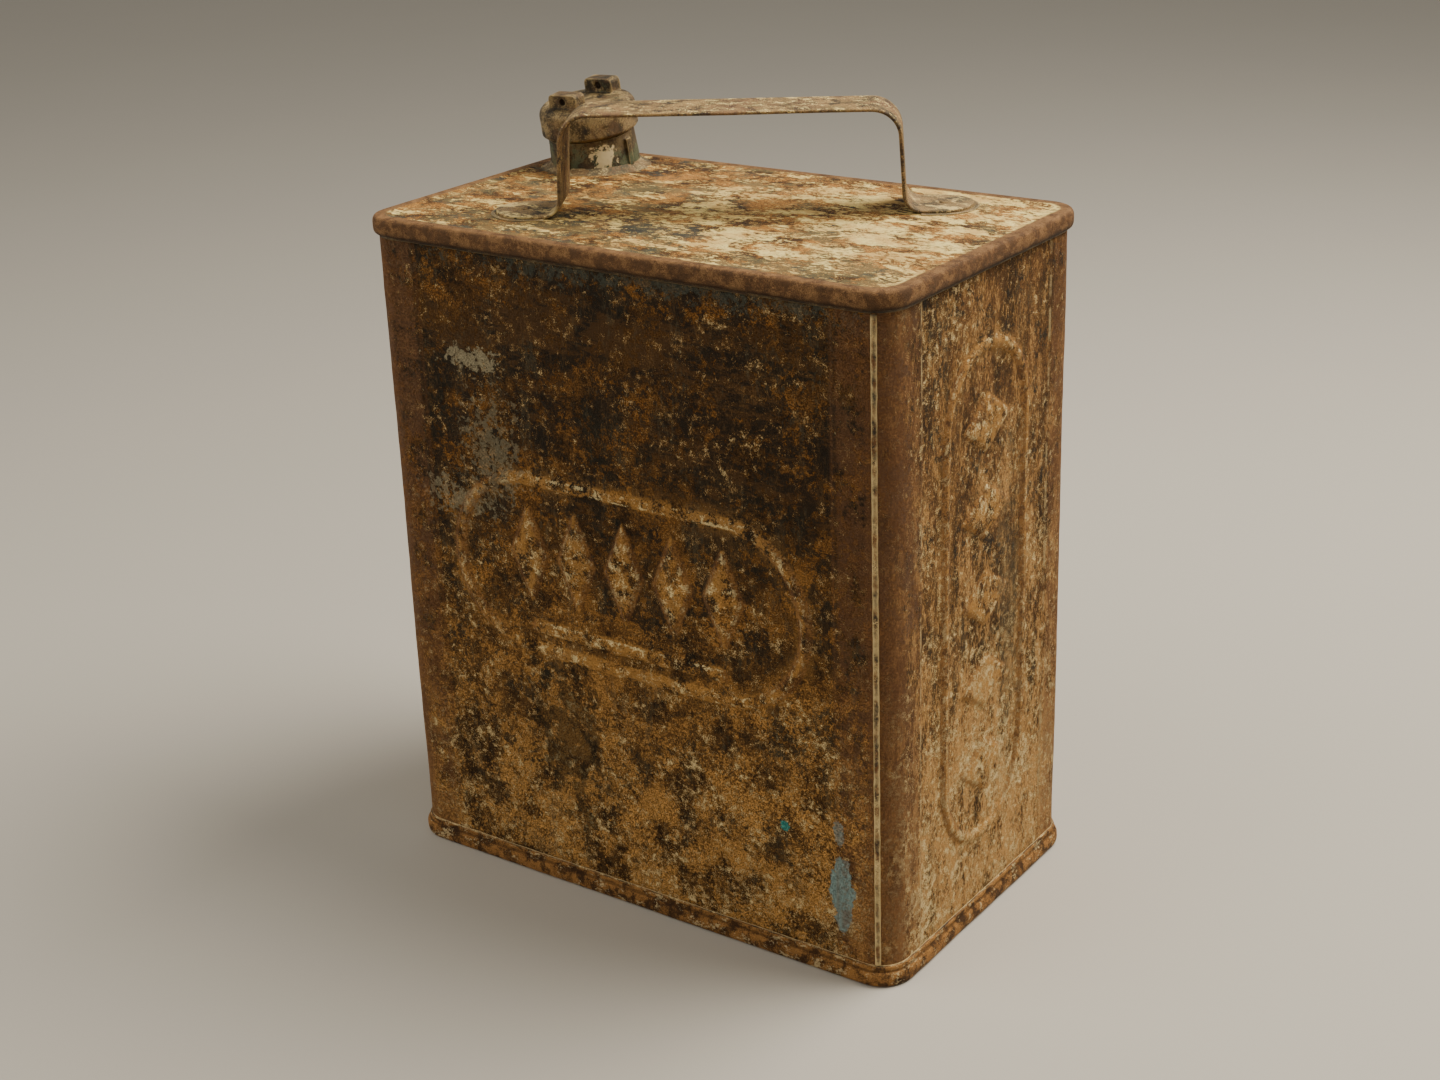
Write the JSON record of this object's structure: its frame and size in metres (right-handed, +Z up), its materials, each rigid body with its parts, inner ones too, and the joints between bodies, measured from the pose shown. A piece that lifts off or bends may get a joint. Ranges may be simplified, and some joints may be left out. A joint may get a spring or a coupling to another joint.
{
  "type": "oil can",
  "caption": "Rectangular soldered steel fuel can with a fixed diagonal strap handle, a leaning cast neck and a two-lug screw cap.",
  "frame": {"origin": "middle of the can's footprint, on the ground it stands on", "axes": "+X along the wide faces towards the end without the neck, +Y towards the back wide face, +Z up"},
  "size_m": [0.2452, 0.1472, 0.3169],
  "materials": {
    "body_steel": "rusted, with remains of dark green paint",
    "top_steel": "rusted, with flaking cream paint",
    "base_steel": "rusted",
    "solder": "dull, tarnished",
    "handle_steel": "rusted, worn bright on its edges",
    "bronze": "dull, oxidised, green in the corners",
    "washer_leather": "oiled"
  },
  "bodies": {
    "can": {"body_sheet_front": "body_steel", "body_sheet_back": "body_steel", "corner_solder_front": "solder", "corner_solder_back": "solder", "top_panel": "top_steel", "top_seam_solder": "solder", "base_panel": "base_steel", "base_seam_solder": "solder", "handle_strap": "handle_steel", "handle_rivet_front": "handle_steel", "handle_rivet_back": "handle_steel", "foot_solder_front": "solder", "foot_solder_back": "solder", "foot_plate_front": "handle_steel", "foot_plate_back": "handle_steel", "neck": "bronze", "neck_solder_ring": "solder"},
    "washer": {"cap_washer": "washer_leather"},
    "cap": {"cap": "bronze"}
  },
  "joints": [
    {"name": "cap_lift", "type": "slide", "parent": "can", "child": "washer", "axis": [-0.0429, -0.1178, 0.9921], "range_m": [0, 0.015]},
    {"name": "cap_turn", "type": "hinge", "parent": "washer", "child": "cap", "pos_m": [-0.09415, 0.04222, 0.29098], "axis": [-0.0429, -0.1178, 0.9921], "range_deg": [0, 1800]}
  ],
  "couplings": [
    {"joint": "cap_lift", "follows": "cap_turn", "m_per_rad": 0.00047746}
  ]
}
